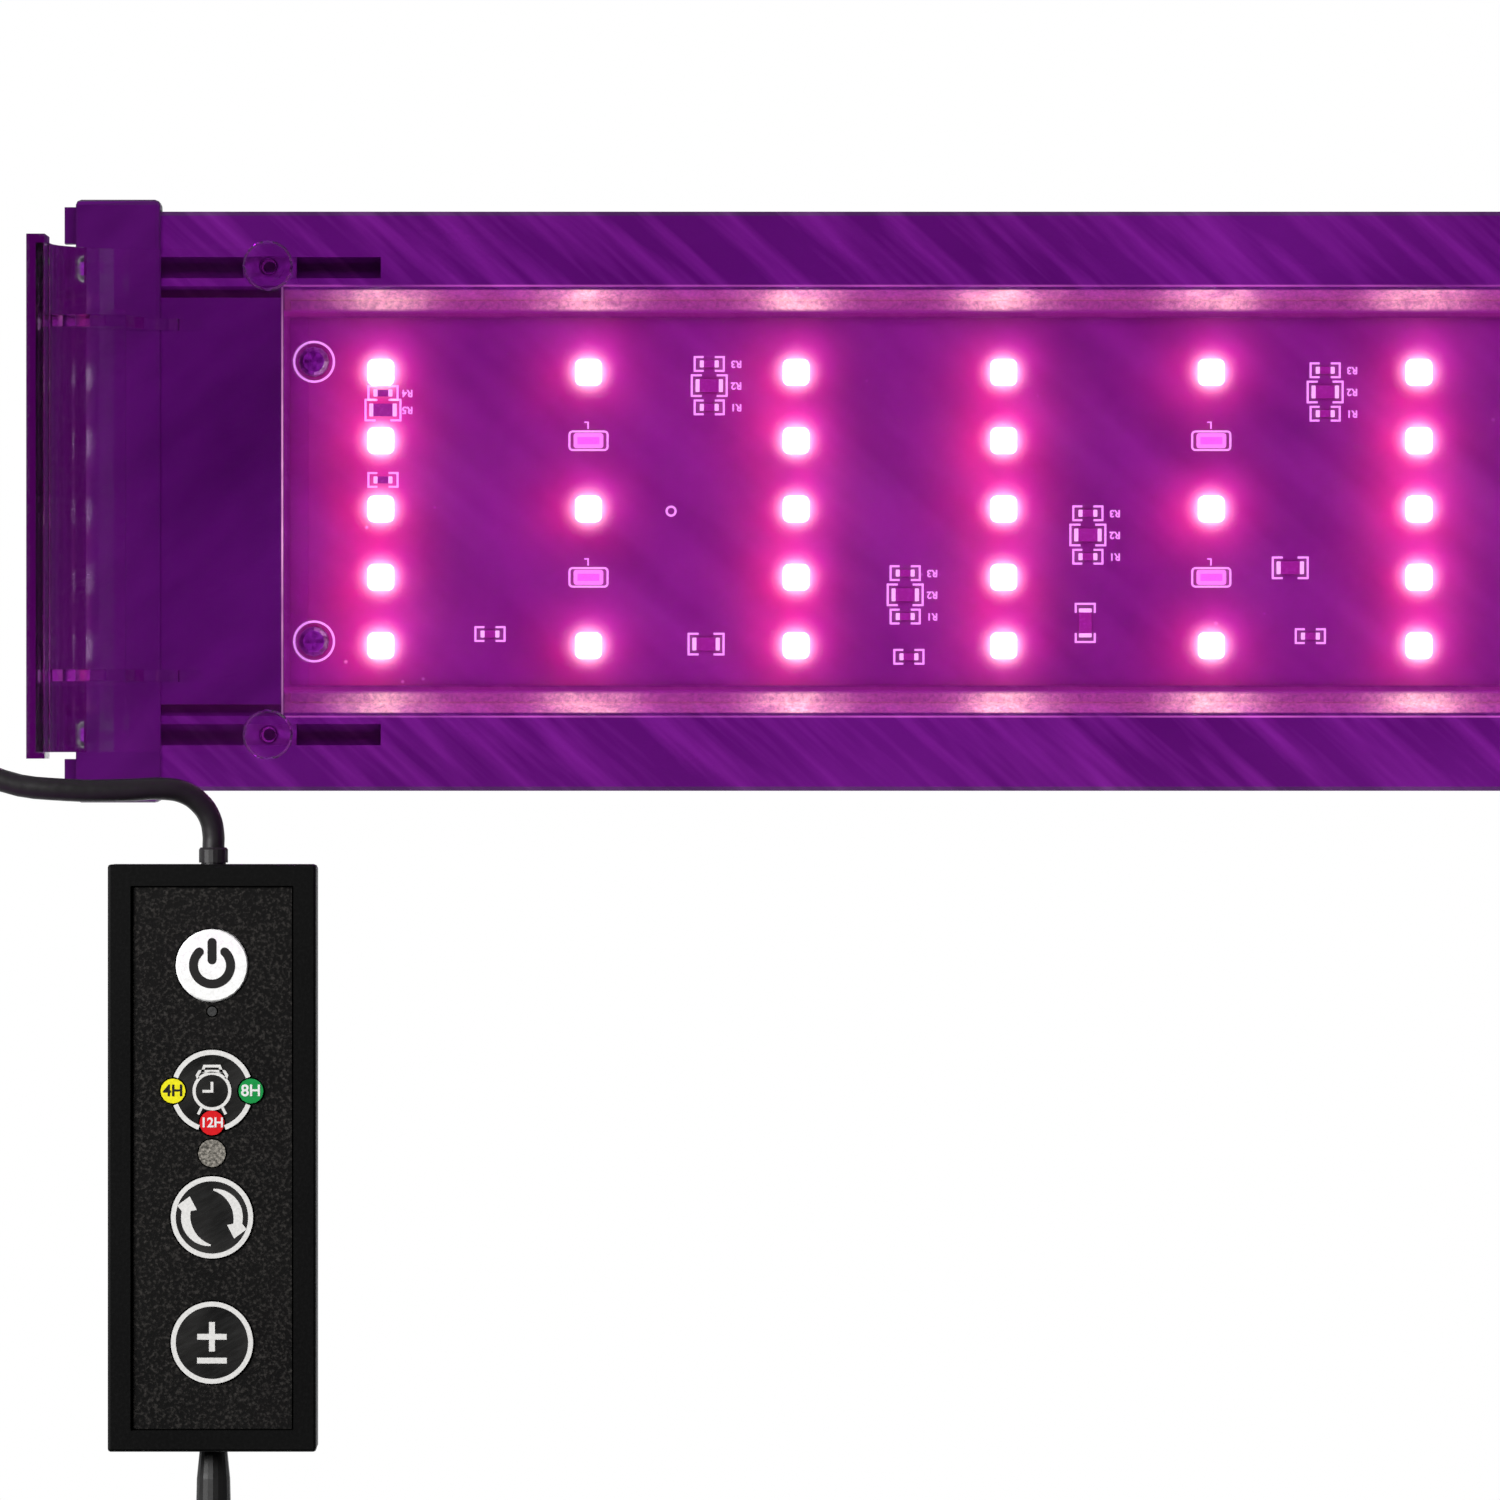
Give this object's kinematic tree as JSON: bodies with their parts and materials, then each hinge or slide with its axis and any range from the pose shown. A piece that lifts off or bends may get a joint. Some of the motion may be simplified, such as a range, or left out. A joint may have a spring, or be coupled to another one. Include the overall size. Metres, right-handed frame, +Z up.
{
  "type": "led aquarium light",
  "caption": "Slim aluminium LED light for an aquarium on clear sliding rim legs, with knobs, an in-line timer controller with keys, and its leads.",
  "frame": {"origin": "on the surface the legs stand on, under the middle of the lamp", "axes": "+Z up, +X along the lamp towards the end with the controller in front of it, -Y the front, where the controller lies"},
  "size_m": [0.5843, 0.4146, 0.0763],
  "materials": {
    "anodised_aluminium": "dark grey anodised extrusion with a fine speckle",
    "cap_plastic": "moulded dark grey plastic, fine texture",
    "steel": "zinc-plated steel",
    "white_board": "white solder mask on an aluminium board",
    "clear_plastic": "clear moulded polycarbonate",
    "silicone": "translucent silicone",
    "lead_rubber": "satin black PVC",
    "tie_strap": "black hook-and-loop strap",
    "case_plastic": "black ABS, very fine texture",
    "face_label": "black printed label with a fine glitter",
    "circuit_board": "green solder mask",
    "silver_key": "silver-painted key",
    "black_key": "gloss black key",
    "smoked_lens": "grey smoked lens",
    "yellow_lens": "yellow indicator",
    "green_lens": "green indicator",
    "red_lens": "red indicator"
  },
  "bodies": {
    "lamp": {"housing_extrusion": "anodised_aluminium", "right_end_cap": "cap_plastic", "left_end_cap": "cap_plastic", "end_cap_screw_right_front": "steel", "end_cap_screw_right_rear": "steel", "end_cap_screw_left_front": "steel", "end_cap_screw_left_rear": "steel", "board_screw_right_front": "steel", "board_screw_right_rear": "steel", "board_screw_left_front": "steel", "board_screw_left_rear": "steel", "controller_screw_right_front": "steel", "controller_screw_right_rear": "steel", "controller_screw_left_front": "steel", "controller_screw_left_rear": "steel", "dc_plug_barrel": "steel", "power_switch": "steel", "timer_switch": "steel", "mode_switch": "steel", "level_switch": "steel", "led_board": "white_board", "splash_cover": "clear_plastic", "cover_seal_front": "silicone", "cover_seal_rear": "silicone", "lamp_gland": "lead_rubber", "board_lead": "lead_rubber", "lamp_lead_drop": "lead_rubber", "lamp_lead_coil": "lead_rubber", "lamp_lead_run": "lead_rubber", "supply_lead_start": "lead_rubber", "supply_lead_coil": "lead_rubber", "supply_lead_end": "lead_rubber", "lamp_side_relief": "lead_rubber", "supply_side_relief": "lead_rubber", "dc_plug_body": "lead_rubber", "lamp_coil_tie": "tie_strap", "supply_coil_tie": "tie_strap", "controller_frame": "case_plastic", "controller_base": "case_plastic", "face_label": "face_label", "controller_board": "circuit_board", "status_lens": "smoked_lens", "sensor_window": "smoked_lens", "indicator_yellow": "yellow_lens", "indicator_green": "green_lens", "indicator_red": "red_lens"},
    "right_leg": {"right_leg": "clear_plastic", "right_slot_nut_front": "steel", "right_slot_nut_rear": "steel"},
    "right_knob_front": {"right_knob_front": "clear_plastic"},
    "right_knob_rear": {"right_knob_rear": "clear_plastic"},
    "left_leg": {"left_leg": "clear_plastic", "left_slot_nut_front": "steel", "left_slot_nut_rear": "steel"},
    "left_knob_front": {"left_knob_front": "clear_plastic"},
    "left_knob_rear": {"left_knob_rear": "clear_plastic"},
    "power_button": {"power_button": "silver_key"},
    "timer_button": {"timer_button": "black_key"},
    "mode_button": {"mode_button": "black_key"},
    "level_button": {"level_button": "black_key"}
  },
  "joints": [
    {"name": "right_leg_slide", "type": "slide", "parent": "lamp", "child": "right_leg", "axis": [1, 0, 0], "range_m": [-0.015, 0.006]},
    {"name": "right_knob_front_turn", "type": "hinge", "parent": "right_leg", "child": "right_knob_front", "pos_m": [0.2364, -0.044, 0.0532], "axis": [0, 0, 1], "continuous": true},
    {"name": "right_knob_rear_turn", "type": "hinge", "parent": "right_leg", "child": "right_knob_rear", "pos_m": [0.2364, 0.044, 0.0532], "axis": [0, 0, 1], "continuous": true},
    {"name": "left_leg_slide", "type": "slide", "parent": "lamp", "child": "left_leg", "axis": [-1, 0, 0], "range_m": [-0.015, 0.006]},
    {"name": "left_knob_front_turn", "type": "hinge", "parent": "left_leg", "child": "left_knob_front", "pos_m": [-0.2364, -0.044, 0.0532], "axis": [0, 0, 1], "continuous": true},
    {"name": "left_knob_rear_turn", "type": "hinge", "parent": "left_leg", "child": "left_knob_rear", "pos_m": [-0.2364, 0.044, 0.0532], "axis": [0, 0, 1], "continuous": true},
    {"name": "power_button_press", "type": "slide", "parent": "lamp", "child": "power_button", "axis": [0, 0, 1], "range_m": [0, 0.0005], "stiffness_N_per_m": 300, "springref_m": -0.001},
    {"name": "timer_button_press", "type": "slide", "parent": "lamp", "child": "timer_button", "axis": [0, 0, 1], "range_m": [0, 0.0005], "stiffness_N_per_m": 300, "springref_m": -0.001},
    {"name": "mode_button_press", "type": "slide", "parent": "lamp", "child": "mode_button", "axis": [0, 0, 1], "range_m": [0, 0.0005], "stiffness_N_per_m": 300, "springref_m": -0.001},
    {"name": "level_button_press", "type": "slide", "parent": "lamp", "child": "level_button", "axis": [0, 0, 1], "range_m": [0, 0.0005], "stiffness_N_per_m": 300, "springref_m": -0.001}
  ]
}
